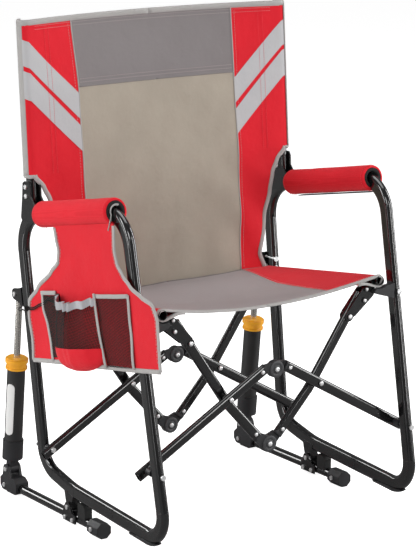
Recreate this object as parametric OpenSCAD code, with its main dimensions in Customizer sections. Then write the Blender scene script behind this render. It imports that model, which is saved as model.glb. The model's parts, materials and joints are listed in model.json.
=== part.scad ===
// Folding camp rocking chair.
// X runs to the sitter's left (side "r" is +X), the front faces -Y, Z is up and the floor is z = 0.
// The origin is on the floor, midway between the frame's front and rear ends. Two scissor linkages let the
// sides close together. Lengths along Y are drawn from the rock axis and moved to the origin at the end.

/* [Side frames] */
// Distance between the leg pivots of the two sides
leg_span = 558; // [540:1:570]
// Outward lean of each side frame, degrees
side_lean = 0.9; // [0.8:0.1:1.2]
// Width of the frame tube seen from the side
tube_l = 28; // [26:1:28]
// Width of the frame tube seen from the front
tube_w = 16; // [14:1:16]
// Wall of the frame tubes
wall = 1.5; // [1:0.1:2]

/* [Rocking feet] */
// Height of the rock pivot above the floor
rock_z = 33; // [33:0.5:34]
// Diameter of the foot bar
foot_bar_d = 18; // [16:1:18]
// Distance across the foot bar's front cap
foot_cap_d = 30; // [28:1:30]
// Length of the foot bar
foot_bar_len = 346; // [340:1:347]

/* [Struts] */
// Length from the lower pin to the upper pin
strut_len = 357; // [356:0.5:358]
// Diameter of the strut's outer cylinder
strut_d = 35; // [32:1:36]
// Diameter of the strut's rod
rod_d = 12.6; // [11:0.2:13]
// Diameter of the coloured collar
collar_d = 44; // [42:1:46]

/* [Scissor links] */
// Width of a link
link_l = 20; // [18:1:20]
// Thickness of a link, front to back
link_w = 12; // [10:1:12]
// Radius of the hub discs
hub_r = 16; // [14:0.5:16]
// Diameter of the seat rails
rail_d = 18; // [16:1:18]

/* [Arm rests and fabric] */
// Diameter of the arm pads
pad_d = 49; // [46:1:50]
// Thickness of the seat and back fabric panels
sling_t = 6; // [4:1:7]
// Height of the top edge of the back
back_top_z = 926; // [900:1:930]

/* [Hidden] */
$fn = 48;
fit = 0.05;             // radial running clearance of a pin
loose = 7;              // radial clearance where the closed linkage is opened
pin_r = 3;
head_r = 5;
head_h = 2.2;
plate = 3;
px = leg_span / 2;

// Side frame outline as [y, z] corners, with a bend radius for each
base_front = [-316, 47];
arm_front = [-200, 629];
arm_rear = [164, 558];
heel = [97, 88];
knee = [-8, 65];
splice_y = -150;
splice_gap = 1;
swell = 0.3;            // extra width of a bend
loop_radii = [45, 65, 70, 55, 120];
function along(p, q, y) = [y, p.y + (q.y - p.y) * (y - p.x) / (q.x - p.x)];
loop_path = [along(base_front, knee, splice_y), base_front, arm_front, arm_rear, heel, knee,
    along(base_front, knee, splice_y + splice_gap)];

// Arm pad along the arm tube
pad_front_y = -168;
pad_rear_y = 84;
arm_path = [toward(arm_front, base_front, 200), arm_front, arm_rear];
arm_radii = [loop_radii[1]];

// Scissor points as [x, z] for the +X side
leg_pin = [px, 170];
cross_pin = [px - 178, 272];
top_hub = [0, 314];
low_hub = [0, 168];
rail_at = [px - 37, 444];
link_tail = 20;         // length of a lower link past its leg pin
upper_lift = 55.5;      // angle of an upper link above level, over its crossing pin
tail_lift = 47.5;       // the same below its bend
bend_drop = 16;         // from the crossing pin down to the bend
bend_r = 80;
upper_len = 185;        // from the crossing pin to the link's top end
hub_reach = 17;         // from a top hub to the shoulder its tube butts on
low_reach = 24;         // the same for a low hub, clear of the other half's disc
shoulder = 5;           // length of that shoulder
plug = 22;              // length of the plug inside the tube

// Front to back layers of the front linkage; the rear one is the same, moved by rear_shift
lower_y = -254;
upper_y = -234;
rear_shift = [0, 325, -45];
rail_fall = atan2(-rear_shift.z, rear_shift.y);
rail_over = 18;         // length of a seat rail past its links

// Foot bar, feet and struts
foot_x = px - 2;
foot_z = foot_cap_d / 2;
foot_front_y = -110;
bracket_y = [186, 246];
front_edge = centre_of(loop_path, loop_radii, 1).x - loop_radii[0] - (tube_l + swell) / 2;
lower_pin = [224, 48];  // [y, z] of the strut's lower pin
upper_pin = [186, 403]; // [y, z] of the strut's upper pin
strut_lean = atan2(lower_pin.x - upper_pin.x, upper_pin.y - lower_pin.y);

// Back
post_x = px + 7;
cheek_gap = 1.2;        // between a post and each cheek of its bracket
post_low = [119, 584];
post_top = [144, back_top_z - 6];

// ---------- shared shapes ----------

// Moves what was drawn from the rock axis to the origin
module placed() {
    translate([0, -(front_edge + bracket_y[1]) / 2, 0]) children();
}

// Draws its children on the +X side, or mirrored for the -X side
module side(s) {
    placed() {
        if (s > 0) children();
        else mirror([1, 0, 0]) children();
    }
}

module oval(l, w) {
    if (l > w) square([l - w, w], center = true);
    for (s = [-1, 1]) translate([s * (l - w) / 2, 0]) circle(d = w);
}

function heading(p, q) = atan2(q.y - p.y, q.x - p.x);
function turn(p, q, r) = let (t = heading(q, r) - heading(p, q)) t > 180 ? t - 360 : t < -180 ? t + 360 : t;
function trim(pts, radii, i) = (i == 0 || i == len(pts) - 1) ? 0
    : radii[i - 1] * tan(abs(turn(pts[i - 1], pts[i], pts[i + 1])) / 2);
function toward(p, q, d) = p + (q - p) / norm(q - p) * d;
function side_of(pts, i) = turn(pts[i - 1], pts[i], pts[i + 1]) > 0 ? 90 : -90;
function centre_of(pts, radii, i) = let (inward = heading(pts[i - 1], pts[i]) + side_of(pts, i))
    toward(pts[i], pts[i - 1], trim(pts, radii, i)) + radii[i - 1] * [cos(inward), sin(inward)];

// A tube's section; t = 0 makes it solid
module section(l, w, t) {
    difference() {
        oval(l, w);
        if (t > 0) oval(l - 2 * t, w - 2 * t);
    }
}

// A tube along a planar path of straights and bends; each bend is a hair thicker and takes in its neighbours
module tube_run(pts, radii, l, w, t) {
    lap = 1.2;
    for (i = [0 : len(pts) - 2]) {
        cut_a = trim(pts, radii, i);
        cut_b = trim(pts, radii, i + 1);
        a = toward(pts[i], pts[i + 1], cut_a > 0 ? cut_a - lap : 0);
        b = toward(pts[i + 1], pts[i], cut_b > 0 ? cut_b - lap : 0);
        translate(a) rotate([0, 0, heading(a, b)]) rotate([90, 0, 90])
            linear_extrude(norm(b - a)) section(l, w, t);
    }
    for (i = [1 : 1 : len(pts) - 2]) {
        t_angle = turn(pts[i - 1], pts[i], pts[i + 1]);
        first = heading(pts[i - 1], pts[i]) + side_of(pts, i) + 180 + min(t_angle, 0);
        translate(centre_of(pts, radii, i)) rotate([0, 0, first]) rotate_extrude(angle = abs(t_angle))
            translate([radii[i - 1], 0]) section(l + swell, w + swell, t > 0 ? t + swell : 0);
    }
}

// Stands a drawing of [y, z] points up in the leaning plane of the +X side frame
module in_side() {
    translate([px, 0, leg_pin.y]) rotate([0, side_lean, 0]) translate([0, 0, -leg_pin.y])
        rotate([90, 0, 90]) children();
}

// Extrudes a drawing of [y, z] points over x = a to b
module slab_x(a, b) {
    translate([a, 0, 0]) rotate([90, 0, 90]) linear_extrude(b - a) children();
}

// Extrudes a drawing of [x, z] points over y = a to b
module slab_y(a, b) {
    translate([0, b, 0]) rotate([90, 0, 0]) linear_extrude(b - a) children();
}

module rod_x(a, b, at, r) {
    translate([a, at.x, at.y]) rotate([0, 90, 0]) cylinder(r = r, h = b - a);
}

module rod_y(a, b, at, r) {
    translate([at.x, a, at.y]) rotate([-90, 0, 0]) cylinder(r = r, h = b - a);
}

module rivet_x(a, b, at, r = 2.5) {
    rod_x(a, b, at, r);
    rod_x(a - head_h, a, at, head_r - 0.6);
    rod_x(b, b + head_h, at, head_r - 0.6);
}

module rivet_y(a, b, at, r = pin_r) {
    rod_y(a, b, at, r);
    rod_y(a - head_h, a, at, head_r);
    rod_y(b, b + head_h, at, head_r);
}

// ---------- rocking feet ----------

rock_at = [0, rock_z];
bar_rivets = [[-18, foot_z - 3], [8, foot_z - 3]];
cap_len = 36;
cap_rivet = [foot_front_y + 22, foot_z];
end_rivet = [230, foot_z];

module foot_bar(s) {
    color("black") side(s) difference() {
        translate([foot_x, foot_front_y + 4, foot_z]) rotate([-90, 0, 0]) linear_extrude(foot_bar_len)
            section(foot_bar_d, foot_bar_d, wall);
        for (p = concat(bar_rivets, [cap_rivet, end_rivet]))
            rod_x(foot_x - foot_bar_d, foot_x + foot_bar_d, p, 2.5 + fit);
    }
}

module foot_cap(s) {
    color("dimgray") side(s) difference() {
        translate([foot_x, foot_front_y, foot_z]) rotate([-90, 22.5, 0])
            cylinder(d = foot_cap_d / cos(22.5), h = cap_len, $fn = 8);
        translate([foot_x, foot_front_y + 3.5, foot_z]) rotate([-90, 0, 0])
            cylinder(r = foot_bar_d / 2 + fit, h = 60);
        rod_x(foot_x - foot_cap_d, foot_x + foot_cap_d, cap_rivet, 2.5 + fit);
    }
}

module rock_cheek() {
    polygon([[-27, foot_z - 9], [16, foot_z - 9], [18, foot_z + 4], [9, rock_z + 3], [-9, rock_z + 3],
        [-16, foot_z + 9], [-29, foot_z + 6]]);
    translate(rock_at) circle(r = 9.5);
}

module rock_bracket(s) {
    inner = foot_bar_d / 2 + 0.1;
    color("dimgray") side(s) difference() {
        for (m = [-1, 1]) slab_x(foot_x + m * (inner + plate / 2) - plate / 2,
            foot_x + m * (inner + plate / 2) + plate / 2) rock_cheek();
        for (p = concat(bar_rivets, [rock_at]))
            rod_x(foot_x - 20, foot_x + 20, p, (p == rock_at ? pin_r : 2.5) + fit);
    }
}

module rear_bracket(s) {
    ear = 11.5;
    y0 = bracket_y[0];
    y1 = bracket_y[1];
    color("dimgray") side(s) difference() {
        union() {
            slab_x(foot_x - 14, foot_x + 14) polygon([[y0, 10], [y0 + 4, 5], [y1 - 8, 5], [y1, 13], [y1, 27],
                [y1 - 8, 34], [y0 + 12, 34], [y0, 27]]);
            slab_x(foot_x - 8, foot_x + 8) polygon([[y0 + 12, 6], [y0 + 15, 0], [y1 - 15, 0], [y1 - 12, 6]]);
            for (m = [-1, 1]) slab_x(foot_x + m * ear - 2.5, foot_x + m * ear + 2.5) {
                translate(lower_pin) circle(r = 10);
                polygon([[lower_pin.x - 16, 28], [lower_pin.x + 14, 28], [lower_pin.x + 9.5, 51],
                    [lower_pin.x - 9.5, 51]]);
            }
        }
        translate([foot_x, y0 - 1, foot_z]) rotate([-90, 0, 0])
            cylinder(r = foot_bar_d / 2 + fit, h = foot_front_y + 4 + foot_bar_len - y0 + 1.2);
        rod_x(foot_x - 20, foot_x + 20, end_rivet, 2.5 + fit);
        rod_x(foot_x - 20, foot_x + 20, lower_pin, pin_r + fit);
    }
}

module stop_bumper(s) {
    top = along(base_front, knee, -42).y - tube_l / 2 - 0.4;
    color("black") side(s) difference() {
        slab_x(foot_x - 8, foot_x + 8) polygon([[-56, foot_z + 2], [-31, foot_z + 2], [-31, top - 1],
            [-33, top], [-50, top - 1], [-56, top - 7]]);
        translate([foot_x, -80, foot_z]) rotate([-90, 0, 0]) cylinder(r = foot_bar_d / 2 + fit, h = 80);
    }
}

module foot_rivets(s) {
    color("silver") side(s) {
        for (p = bar_rivets) rivet_x(foot_x - 12.2, foot_x + 12.2, p);
        rivet_x(foot_x - 15.1, foot_x + 15.1, cap_rivet);
        rivet_x(foot_x - 14.1, foot_x + 14.1, end_rivet);
        rivet_x(foot_x - 14.1, foot_x + 14.1, lower_pin, pin_r);
        rivet_x(foot_x - 12.2, foot_x + 12.2, rock_at, pin_r);
    }
}

// ---------- side frames ----------

front_pin = leg_pin;
rear_pin = leg_pin + [0, rear_shift.z];
strut_rivets = [[foot_x, upper_pin.y - 9], [foot_x, upper_pin.y + 9]];
rest_rivet = [px + 4, 421];
post_rivets = [[120.5, 603], [122, 620]];   // [y, z]

module side_frame(s) {
    color("black") side(s) difference() {
        in_side() tube_run(loop_path, loop_radii, tube_l, tube_w, wall);
        rod_y(-320, -250, front_pin, pin_r + fit);
        rod_y(60, 130, rear_pin, pin_r + fit);
        for (p = strut_rivets) rod_y(110, 170, p, 2.5 + fit);
        rod_y(-280, -200, rest_rivet, 2.5 + fit);
    }
}

module rock_saddle(s) {
    half = foot_bar_d / 2 - 0.6;
    color("black") side(s) difference() {
        slab_x(foot_x - half, foot_x + half) {
            translate(rock_at) circle(r = 7.8);
            polygon([[-7.8, rock_z], [7.8, rock_z], [13, 50], [17, 66], [-17, 64], [-13, 50]]);
        }
        in_side() tube_run(loop_path, loop_radii, tube_l + 0.2, tube_w + 0.2, 0);
        rod_x(foot_x - 20, foot_x + 20, rock_at, pin_r + fit);
        translate([foot_x - 20, -30, along(knee, heel, 0).y]) cube([40, 60, 20]);
    }
}

// Shoe under the loop's front corner, rest under the seat rail's front end and a spacer on each leg pin
module side_mouldings(s) {
    color("dimgray") side(s) {
        difference() {
            intersection() {
                in_side() tube_run(loop_path, loop_radii, tube_l + 7, tube_w + 5, 0);
                translate([px - 30, -350, 0]) cube([60, 142, 43]);
            }
            in_side() tube_run(loop_path, loop_radii, tube_l + 0.2, tube_w + 0.2, 0);
        }
        slab_y(-255.5, -244.5) polygon([[px - 4.8, 409], [px - 4.8, 438], [px - 22, 436], [px - 34, 431.5],
            [px - 48, 431.5], [px - 52, 427], [px - 46, 422], [px - 20, 414]]);
        leg_spacer(-275.4, lower_y - link_w / 2 - 0.3, front_pin);
        leg_spacer(lower_y + rear_shift.y + link_w / 2 + 0.3, 84.8, rear_pin);
    }
}

module leg_spacer(a, b, at) {
    difference() {
        rod_y(a, b, at, 7);
        rod_y(a - 1, b + 1, at, pin_r + fit);
    }
}

module arm_pad(s) {
    a = along(arm_front, arm_rear, pad_front_y);
    b = along(arm_front, arm_rear, pad_rear_y);
    color("crimson") side(s) difference() {
        in_side() tube_run([a, b], [], pad_d, pad_d, 0);
        in_side() tube_run(arm_path, arm_radii, tube_l + 0.4, tube_w + 0.4, 0);
    }
}

module back_post(s) {
    color("black") side(s) difference() {
        translate([post_x, 0, 0]) rotate([90, 0, 90]) tube_run([post_low, post_top], [], 22, tube_w, wall);
        for (p = post_rivets) rod_x(post_x - 20, post_x + 20, p, 2.5 + fit);
    }
}

module arm_cheek() {
    polygon([[84, 566], [97, 557], [136, 553], [141, 560], [136, 600], [134, 626], [128, 630],
        [112, 630], [107, 622], [106, 604], [88, 584]]);
}

module arm_bracket(s) {
    inner = tube_w / 2 + cheek_gap;
    color("black") side(s) difference() {
        for (m = [-1, 1]) slab_x(post_x + m * (inner + plate / 2) - plate / 2,
            post_x + m * (inner + plate / 2) + plate / 2) arm_cheek();
        for (p = post_rivets) rod_x(post_x - 20, post_x + 20, p, 2.5 + fit);
    }
}

module strut_bracket(s) {
    web = [159.4, 163];
    color("black") side(s) difference() {
        union() {
            slab_x(px - 13, px + 11) polygon([[web[0] - 5, upper_pin.y - 17], [web[1], upper_pin.y - 17],
                [web[1], upper_pin.y + 17], [web[0], upper_pin.y + 17]]);
            for (m = [-1, 1]) slab_x(foot_x + m * 9.5 - 1.5, foot_x + m * 9.5 + 1.5) {
                translate(upper_pin) circle(r = 11);
                polygon([[web[1] - 2, upper_pin.y - 16], [upper_pin.x, upper_pin.y - 11],
                    [upper_pin.x, upper_pin.y + 11], [web[1] - 2, upper_pin.y + 16]]);
            }
        }
        rod_x(foot_x - 20, foot_x + 20, upper_pin, pin_r + fit);
        for (p = strut_rivets) rod_y(110, 170, p, 2.5 + fit);
    }
}

module side_rivets(s) {
    link_back = lower_y + link_w / 2 + 0.3;
    link_face = lower_y + rear_shift.y - link_w / 2 - 0.3;
    post_half = tube_w / 2 + cheek_gap + plate + 0.1;
    color("silver") side(s) {
        rivet_y(-308.4, link_back, front_pin);
        rivet_y(link_face, 117.4, rear_pin);
        rivet_y(-257.6, -225.6, rest_rivet, 2.5);
        rivet_x(foot_x - 11.2, foot_x + 11.2, upper_pin, pin_r);
        for (p = strut_rivets) rivet_y(124.6, 163.2, p, 2.5);
        for (p = post_rivets) rivet_x(post_x - post_half, post_x + post_half, p);
    }
}

// ---------- struts: drawn upright from the lower pin, then set at the strut's lean ----------

clevis_top = 60;
cyl_low = 34;
cyl_high = 206;
collar_h = 22;
piston_at = 172;
piston_h = 12;
bore_r = strut_d / 2 - 2;
coil_low = 62;
coil_turns = 9;

module strut(s) {
    side(s) translate([foot_x, lower_pin.x, lower_pin.y]) rotate([strut_lean, 0, 0]) children();
}

module strut_clevis(s) {
    color("dimgray") strut(s) difference() {
        union() {
            translate([0, 0, 22]) cylinder(d = strut_d + 5, h = clevis_top - 22);
            translate([0, 0, 12]) cylinder(d = 17, h = 14);
            rotate([0, 90, 0]) cylinder(r = 10, h = 17, center = true);
            translate([-8.5, -8, 0]) cube([17, 16, 24]);
        }
        rotate([0, 90, 0]) cylinder(r = pin_r + fit, h = 40, center = true);
        translate([0, 0, cyl_low]) cylinder(r = strut_d / 2 + fit, h = 60);
    }
}

module strut_cylinder(s) {
    color("black") strut(s) translate([0, 0, cyl_low + 0.1]) difference() {
        cylinder(d = strut_d, h = cyl_high - cyl_low);
        translate([0, 0, coil_low - cyl_low - 2]) cylinder(r = bore_r, h = 300);
    }
}

module strut_collar(s) {
    color("orange") strut(s) translate([0, 0, cyl_high + 0.2]) difference() {
        union() {
            cylinder(d = collar_d - 5, h = collar_h);
            cylinder(d = collar_d - 2, h = 4);
            translate([0, 0, collar_h - 9]) cylinder(d = collar_d, h = 7);
        }
        translate([0, 0, -1]) cylinder(r = rod_d / 2 + fit, h = collar_h + 2);
    }
}

module coil_ring(r, wire, z) {
    translate([0, 0, z]) rotate_extrude() translate([r, 0]) circle(r = wire, $fn = 16);
}

module strut_spring(s) {
    wire = 1.5;
    pitch = (piston_at - coil_low - 2 * wire - 0.4) / (coil_turns - 1);
    r = bore_r - wire - 1;
    color("silver") strut(s) {
        for (i = [0 : coil_turns - 1]) coil_ring(r, wire, coil_low + wire + 0.2 + i * pitch);
        for (i = [0 : coil_turns - 2]) rotate([0, 0, i * 40])
            translate([r, 0, coil_low + wire + 0.2 + i * pitch]) cylinder(r = wire * 0.8, h = pitch);
    }
}

module strut_rod(s) {
    color("silver") strut(s) difference() {
        union() {
            translate([0, 0, piston_at]) cylinder(r = bore_r - fit, h = piston_h);
            translate([0, 0, piston_at]) cylinder(d = rod_d, h = strut_len - piston_at - 6);
            translate([0, 0, strut_len]) rotate([0, 90, 0]) cylinder(r = 10, h = 12, center = true);
        }
        translate([0, 0, strut_len]) rotate([0, 90, 0]) cylinder(r = pin_r + 2.6, h = 40, center = true);
    }
}

// ---------- scissor linkage ----------

lower_lift = atan2(cross_pin.y - leg_pin.y, leg_pin.x - cross_pin.x);

// Distances along a link from the foot of the perpendicular dropped from its hub
function reach(hub, p, a) = (p.x - hub.x) * cos(a) + (p.y - hub.y) * sin(a);
function offset_to(hub, p, a) = (p.y - hub.y) * cos(a) - (p.x - hub.x) * sin(a);

// Disc of a hub in its half of the layer, with the plug that fills the tube's end
module knuckle(hub, through, a, y, front_half, hole, from) {
    n = offset_to(hub, through, a);
    half = link_l / 2;
    y0 = front_half ? -link_w / 2 : 0.3;
    translate([hub.x, y, hub.y]) rotate([0, -a, 0]) difference() {
        union() {
            translate([0, y0, 0]) slab_y(0, link_w / 2 - 0.3) {
                circle(r = hub_r);
                polygon([[0, -hub_r], [from + 2, n - half], [from + 2, n + half], [0, hub_r]]);
            }
            translate([from, 0, n]) rotate([0, 90, 0]) {
                linear_extrude(shoulder) oval(link_l, link_w);
                linear_extrude(plug) oval(link_l - 2 * wall - 2 * fit, link_w - 2 * wall - 2 * fit);
            }
        }
        rod_y(-50, 50, [0, 0], hole);
    }
}

module hub_pin(hub, y) {
    rivet_y(y - link_w / 2 - 0.1, y + link_w / 2 + 0.2, hub);
}

// Lower link, drawn for the +X side: hub at the centre, leg pin at the far end. Its crossing pin goes
// through the front upper link and stops short of the rear one, where the linkage is open.
module lower_link(s, shift, joined) {
    a = -lower_lift;
    from_s = hub_reach + shoulder + 0.2;
    head_y = upper_y + link_w / 2 + 0.3;
    near_y = upper_y - link_w / 2 - 0.3;
    color("black") side(s) translate(shift) {
        difference() {
            translate([top_hub.x, lower_y, top_hub.y]) rotate([0, -a, 0])
                translate([from_s, 0, offset_to(top_hub, leg_pin, a)]) rotate([0, 90, 0])
                linear_extrude(reach(top_hub, leg_pin, a) + link_tail - from_s)
                section(link_l, link_w, wall);
            rod_y(lower_y - 20, lower_y + 20, leg_pin, pin_r + fit);
        }
        rod_y(lower_y - link_w / 2 - head_h, joined ? head_y : near_y, cross_pin, pin_r);
        rod_y(lower_y + link_w / 2, near_y, cross_pin, 6);
        rod_y(lower_y - link_w / 2 - head_h, lower_y - link_w / 2, cross_pin, head_r);
        if (joined) rod_y(head_y, head_y + head_h, cross_pin, head_r);
    }
}

// The -X half carries the hub pin and lies in the front half of the layer
module top_knuckle(s, shift, gap) {
    hole = s < 0 ? pin_r - 0.5 : pin_r + gap;
    color("dimgray") side(s) translate(shift) {
        knuckle(top_hub, leg_pin, -lower_lift, lower_y, s < 0, hole, hub_reach);
        if (s < 0) hub_pin(top_hub, lower_y);
    }
}

upper_dir = [cos(upper_lift), sin(upper_lift)];
tail_dir = [cos(tail_lift), sin(tail_lift)];
bend_at = cross_pin - bend_drop * upper_dir;
link_low = low_hub + (low_reach + shoulder + 0.2) * tail_dir
    + offset_to(low_hub, bend_at, tail_lift) * [-tail_dir.y, tail_dir.x];
link_top = cross_pin + upper_len * upper_dir;

module upper_link_run(l, w, t) {
    translate([0, upper_y, 0]) rotate([90, 0, 0]) tube_run([link_low, bend_at, link_top], [bend_r], l, w, t);
}

module upper_link_tube() {
    difference() {
        upper_link_run(link_l, link_w, wall);
        rod_y(upper_y - 20, upper_y + 20, bracket_foot, pin_r + fit);
    }
}

module upper_links(s) {
    color("black") side(s) {
        difference() {
            upper_link_tube();
            rod_y(upper_y - 20, upper_y + 20, cross_pin, pin_r + fit);
        }
        translate(rear_shift) upper_link_tube();
    }
}

// One half of a low hub with its own stub pin, which stops at the other half
module open_low_hub(s) {
    inner = upper_y + s * 0.3;
    outer = upper_y + s * (link_w / 2 + 0.1);
    knuckle(low_hub, bend_at, tail_lift, upper_y, s < 0, pin_r - 0.5, low_reach);
    rod_y(min(inner, outer), max(inner, outer), low_hub, pin_r);
    rod_y(min(outer, outer + s * head_h), max(outer, outer + s * head_h), low_hub, head_r);
}

// The front pair shares one pin in an oversize hole; the rear pair is open
module lower_hubs(s) {
    color("dimgray") side(s) {
        knuckle(low_hub, bend_at, tail_lift, upper_y, s < 0, s < 0 ? pin_r - 0.5 : pin_r + loose, low_reach);
        if (s < 0) hub_pin(low_hub, upper_y);
        translate(rear_shift) open_low_hub(s);
    }
}

// ---------- seat rails ----------

rail_start = [rail_at.x, upper_y, rail_at.y] - rail_over * [0, cos(rail_fall), -sin(rail_fall)];
rail_len = norm(rear_shift) + 2 * rail_over + 10;

module along_rail() {
    translate(rail_start) rotate([-90 - rail_fall, 0, 0]) children();
}

module seat_rail(s) {
    color("black") side(s) along_rail() linear_extrude(rail_len) section(rail_d, rail_d, wall);
}

bracket_foot = cross_pin + (upper_len - 49) * upper_dir;

module rail_bracket() {
    front = upper_y - link_w / 2 - 0.1;
    back = upper_y + link_w / 2 + 0.1;
    difference() {
        union() {
            for (y = [front - plate, back]) slab_y(y, y + plate) {
                polygon([bracket_foot - 9 * upper_dir, bracket_foot + [14, 0], rail_at + [-9, -27],
                    rail_at + [-3, -17], rail_at + [-10, -5], link_top + [2, 9], bracket_foot + [-5, 9]]);
                translate(bracket_foot) circle(r = link_l / 2 - 1);
            }
            slab_y(front - plate, back + plate) translate(rail_at) intersection() {
                circle(r = rail_d / 2 + 4);
                translate([-20, -20]) square([22, 24]);
            }
        }
        along_rail() translate([0, 0, -30]) cylinder(r = rail_d / 2 + fit, h = rail_len + 60);
        upper_link_run(link_l + 0.2, link_w + 0.2, 0);
    }
    rivet_y(front - plate, back + plate, bracket_foot);
    rivet_y(front - plate, back + plate, rail_at + [-30, -33], 2.5);
    rivet_y(front - plate, back + plate, rail_at + [-26, -12], 2.5);
}

module rail_brackets(s) {
    color("dimgray") side(s) for (shift = [[0, 0, 0], rear_shift]) translate(shift) rail_bracket();
}

// ---------- fabric, as plain closed panels ----------

back_low = [101, 408];
back_half = px - 9;
back_waist = px - 52;
waist_z = 590;

module back_sling() {
    color("tan") placed() intersection() {
        slab_x(-back_half, back_half) polygon([back_low, [106, waist_z], [146, back_top_z],
            [146 + sling_t, back_top_z], [106 + sling_t, waist_z], back_low + [sling_t, 0]]);
        slab_y(0, 300) polygon([[-back_waist, back_low.y], [-back_waist, waist_z - 60],
            [-back_half, waist_z + 40], [-back_half, back_top_z], [back_half, back_top_z],
            [back_half, waist_z + 40], [back_waist, waist_z - 60], [back_waist, back_low.y]]);
    }
}

module seat_sling() {
    half = rail_at.x - rail_d / 2 - 5;
    color("gray") placed() translate([-half, rail_start.y, rail_start.z]) rotate([-rail_fall, 0, 0])
        translate([0, 4, -sling_t / 2]) cube([2 * half, rail_len - 22, sling_t]);
}

pocket_x = -(px + 17);
pouch_t = 13;

module side_pocket() {
    color("crimson") placed() slab_x(pocket_x, pocket_x + 3) polygon([[-178, 588], [12, 552], [6, 503],
        [32, 470], [112, 402], [108, 340], [98, 294], [30, 268], [-60, 275], [-150, 301], [-300, 345],
        [-314, 368], [-302, 490], [-250, 512], [-184, 537]]);
}

module cup_pouch() {
    color("dimgray") placed() slab_x(pocket_x - 0.3 - pouch_t, pocket_x - 0.3) difference() {
        polygon([[14, 425], [10, 330], [0, 285], [-40, 270], [-88, 285], [-96, 340], [-102, 446]]);
        translate([lock_at.y, lock_at.z]) square([18, 44], center = true);
    }
}

lock_r = 6.6;
lock_at = [pocket_x - lock_r - 0.4, 4, 428];

module cord_lock() {
    color("black") placed() translate(lock_at - [0, 0, 8]) difference() {
        cylinder(r = lock_r, h = 17);
        translate([0, 0, 3.5]) cylinder(r = lock_r - 2, h = 20);
    }
}

module cord_lock_button() {
    color("black") placed() translate(lock_at) {
        cylinder(r = lock_r - 2 - fit, h = 12);
        translate([0, 0, 11]) cylinder(r = lock_r - 3, h = 3);
    }
}

// ---------- assembly ----------

foot_bar(-1);  // foot_bar_l
foot_bar(1);  // foot_bar_r
foot_cap(-1);  // foot_cap_l
foot_cap(1);  // foot_cap_r
rock_bracket(-1);  // rock_bracket_l
rock_bracket(1);  // rock_bracket_r
rear_bracket(-1);  // rear_bracket_l
rear_bracket(1);  // rear_bracket_r
stop_bumper(-1);  // stop_bumper_l
stop_bumper(1);  // stop_bumper_r
foot_rivets(-1);  // foot_rivets_l
foot_rivets(1);  // foot_rivets_r
side_frame(-1);  // side_frame_l
side_frame(1);  // side_frame_r
rock_saddle(-1);  // rock_saddle_l
rock_saddle(1);  // rock_saddle_r
side_mouldings(-1);  // side_mouldings_l
side_mouldings(1);  // side_mouldings_r
arm_pad(-1);  // arm_pad_l
arm_pad(1);  // arm_pad_r
back_post(-1);  // back_post_l
back_post(1);  // back_post_r
arm_bracket(-1);  // arm_bracket_l
arm_bracket(1);  // arm_bracket_r
strut_bracket(-1);  // strut_bracket_l
strut_bracket(1);  // strut_bracket_r
side_rivets(-1);  // side_rivets_l
side_rivets(1);  // side_rivets_r
strut_clevis(-1);  // strut_clevis_l
strut_clevis(1);  // strut_clevis_r
strut_cylinder(-1);  // strut_cylinder_l
strut_cylinder(1);  // strut_cylinder_r
strut_collar(-1);  // strut_collar_l
strut_collar(1);  // strut_collar_r
strut_spring(-1);  // strut_spring_l
strut_spring(1);  // strut_spring_r
strut_rod(-1);  // strut_rod_l
strut_rod(1);  // strut_rod_r
lower_link(-1, [0, 0, 0], true);  // front_lower_link_l
lower_link(1, [0, 0, 0], true);  // front_lower_link_r
lower_link(-1, rear_shift, false);  // rear_lower_link_l
lower_link(1, rear_shift, false);  // rear_lower_link_r
top_knuckle(-1, [0, 0, 0], fit);  // front_hub_l
top_knuckle(1, [0, 0, 0], fit);  // front_hub_r
top_knuckle(-1, rear_shift, 0.3);  // rear_hub_l
top_knuckle(1, rear_shift, 0.3);  // rear_hub_r
upper_links(-1);  // upper_links_l
upper_links(1);  // upper_links_r
lower_hubs(-1);  // lower_hubs_l
lower_hubs(1);  // lower_hubs_r
seat_rail(-1);  // seat_rail_l
seat_rail(1);  // seat_rail_r
rail_brackets(-1);  // rail_brackets_l
rail_brackets(1);  // rail_brackets_r
back_sling();
seat_sling();
side_pocket();
cup_pouch();
cord_lock();
cord_lock_button();
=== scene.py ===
import json
import math
import bpy
from mathutils import Matrix, Vector, noise


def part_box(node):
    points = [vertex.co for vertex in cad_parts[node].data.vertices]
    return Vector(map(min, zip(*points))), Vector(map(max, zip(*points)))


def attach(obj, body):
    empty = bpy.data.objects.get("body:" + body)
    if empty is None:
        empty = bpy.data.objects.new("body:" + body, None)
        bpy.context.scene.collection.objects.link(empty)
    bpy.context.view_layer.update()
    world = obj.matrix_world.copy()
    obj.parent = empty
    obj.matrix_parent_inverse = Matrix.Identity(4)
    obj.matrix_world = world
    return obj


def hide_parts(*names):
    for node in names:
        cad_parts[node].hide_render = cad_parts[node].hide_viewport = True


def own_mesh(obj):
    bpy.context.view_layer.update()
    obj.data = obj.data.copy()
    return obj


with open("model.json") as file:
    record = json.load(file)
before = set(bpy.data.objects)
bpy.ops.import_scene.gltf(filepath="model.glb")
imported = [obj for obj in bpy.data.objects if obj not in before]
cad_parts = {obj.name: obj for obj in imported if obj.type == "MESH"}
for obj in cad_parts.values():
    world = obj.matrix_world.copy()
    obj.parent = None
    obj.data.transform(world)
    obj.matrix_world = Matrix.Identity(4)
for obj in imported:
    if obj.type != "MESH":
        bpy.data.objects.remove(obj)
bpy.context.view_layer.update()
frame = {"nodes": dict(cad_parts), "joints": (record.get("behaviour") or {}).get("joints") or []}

MM = 0.001
joints = {joint["name"]: joint for joint in frame["joints"]}
ROCK_Y = joints["rock"]["pos_m"][1] / MM
SIDES = ((-1, "l"), (1, "r"))
FRONTWARD = (0, -1, 0)
UPWARD = (0, 0, 1)
PLAIN_X = Vector((1, 0, 0))


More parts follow.
